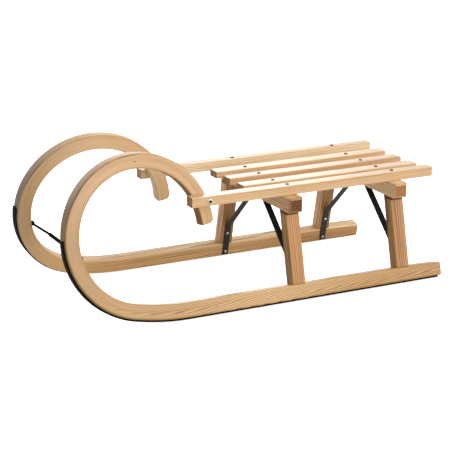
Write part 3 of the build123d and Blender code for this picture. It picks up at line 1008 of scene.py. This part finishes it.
def eye_place(side, lift, reach):
    """A point at the rod's eye: lifted off the horn's inner curve, reaching to the middle."""
    radius = LOOP_RADIUS - SHOE_THICKNESS - BAR_DEPTH - EYE_SINK - lift
    return on_sled(side, LOOP_CENTRE + radius * math.cos(ROD_TURN),
                   LOOP_HEIGHT + radius * math.sin(ROD_TURN), EYE_OFFSET + reach)


def round_bar(bm, place, radius, length, edge):
    """A round bar with eased rims, about place's own z axis."""
    bar = bmesh.ops.create_cone(bm, cap_ends=True, segments=ROUND_STEPS, radius1=radius,
                                radius2=radius, depth=length)
    bmesh.ops.transform(bm, verts=bar["verts"], matrix=place)
    rims = {e for v in bar["verts"] for e in v.link_edges
            if any(len(f.verts) > 4 for f in e.link_faces)}
    ease_edges(bm, list(rims), edge, STEEL_EDGE_STEPS)


def tow_rod():
    """Black rod from horn to horn, cranked up to its sleeve, with a round eye at each end."""
    end = eye_place("left", EYE_THICKNESS / 2, EYE_REACH)
    bm = bmesh.new()
    round_bar(bm, stood_on((end.x, 0, end.z), (0, 1, 0)), ROD_RADIUS, 2 * end.y, ROD_EDGE)
    for cut in (ROD_CRANK - CRANK_EASE, ROD_CRANK, ROD_CRANK + CRANK_EASE):
        for side_cut in (cut, -cut):
            cut_across(bm, (0, side_cut, 0), (0, 1, 0))
    for vert in bm.verts:
        share = (end.y - abs(vert.co.y)) / (end.y - ROD_CRANK)
        vert.co.z += ROD_RISE * min(1.0, max(0.0, share))
    for side in SIDES:
        upward = eye_place(side, 1, 0) - eye_place(side, 0, 0)
        eye = stood_on(eye_place(side, EYE_THICKNESS / 2, 0), upward)
        round_bar(bm, eye, EYE_RADIUS, EYE_THICKNESS, EYE_EDGE)
    finish_piece("coated_rod", bm, [skins["black_rod"]], ["tow_rod"])
    bm = bmesh.new()
    sleeve = stood_on((end.x, 0, end.z + ROD_RISE), (0, 1, 0))
    round_bar(bm, sleeve, SLEEVE_RADIUS, SLEEVE_LENGTH, SLEEVE_EDGE)
    finish_piece("rod_sleeve", bm, [skins["black_sleeve"]], ["tow_rod_sleeve"])


slat_screws()
tow_rod()
for side_name in SIDES:
    strap_screws(side_name)
    shoe_screws(side_name)
    horn_bolt(side_name)


# Studio: pale floor, soft light and the camera.

def studio_floor():
    """A wide pale floor that looks as white as the studio behind it."""
    bm = bmesh.new()
    bmesh.ops.create_grid(bm, x_segments=1, y_segments=1, size=FLOOR_SIZE)
    mesh = bpy.data.meshes.new("studio_floor")
    bm.to_mesh(mesh)
    bm.free()
    floor = bpy.data.objects.new("studio_floor", mesh)
    bpy.context.scene.collection.objects.link(floor)
    material, tree, surface = blank_material("pale_floor")
    pale = mixed(tree, stretched_noise(tree, place_on(tree), FLOOR_CLOUDS), *FLOOR_TONES)
    seen = tree.nodes.new("ShaderNodeLightPath").outputs["Is Camera Ray"]
    fill(tree, surface, {
        "Base Color": mixed(tree, seen, FLOOR_BOUNCE, pale),
        "Emission Color": mixed(tree, seen, (0, 0, 0, 1), FLOOR_GLOW),
        "Emission Strength": 1.0,
        "Roughness": 0.9,
        "Specular IOR Level": 0.1,
    })
    mesh.materials.append(material)


def soft_sun(name, towards, strength, spread):
    """Even light from one side of the studio, as soft as its spread is wide."""
    lamp = bpy.data.lights.new(name, "SUN")
    lamp.energy = strength
    lamp.angle = math.radians(spread)
    holder = bpy.data.objects.new(name, lamp)
    holder.rotation_euler = Vector(towards).to_track_quat("-Z", "Y").to_euler()
    bpy.context.scene.collection.objects.link(holder)


def studio_sky():
    """White behind the sled, and a weaker even light on it."""
    world = bpy.data.worlds.new("studio_sky")
    world.use_nodes = True
    tree = world.node_tree
    rays = tree.nodes.new("ShaderNodeLightPath").outputs
    light = sums(tree, "MULTIPLY_ADD", rays["Is Camera Ray"], SKY_SEEN - SKY_LIGHT, SKY_LIGHT)
    light = sums(tree, "MULTIPLY_ADD", rays["Is Glossy Ray"], SKY_MIRRORED - SKY_LIGHT, light)
    fill(tree, tree.nodes["Background"], {"Color": (1, 1, 1, 1), "Strength": light})
    bpy.context.scene.world = world


def photograph_camera():
    """The camera that the photograph was taken with, as fitted to the sled."""
    camera = bpy.data.cameras.new("photograph")
    camera.sensor_width = CAMERA_SENSOR
    camera.lens = CAMERA_LENS
    holder = bpy.data.objects.new("photograph", camera)
    back = Vector((math.sin(CAMERA_TURN) * math.cos(CAMERA_RISE),
                   math.cos(CAMERA_TURN) * math.cos(CAMERA_RISE), math.sin(CAMERA_RISE)))
    holder.location = CAMERA_AIM + back * CAMERA_DISTANCE
    holder.rotation_euler = (-back).to_track_quat("-Z", "Y").to_euler()
    bpy.context.scene.collection.objects.link(holder)
    bpy.context.scene.camera = holder


studio_floor()
studio_sky()
for soft_light in SOFT_LIGHTS:
    soft_sun(*soft_light)
photograph_camera()
bpy.context.scene.view_settings.view_transform = "Standard"
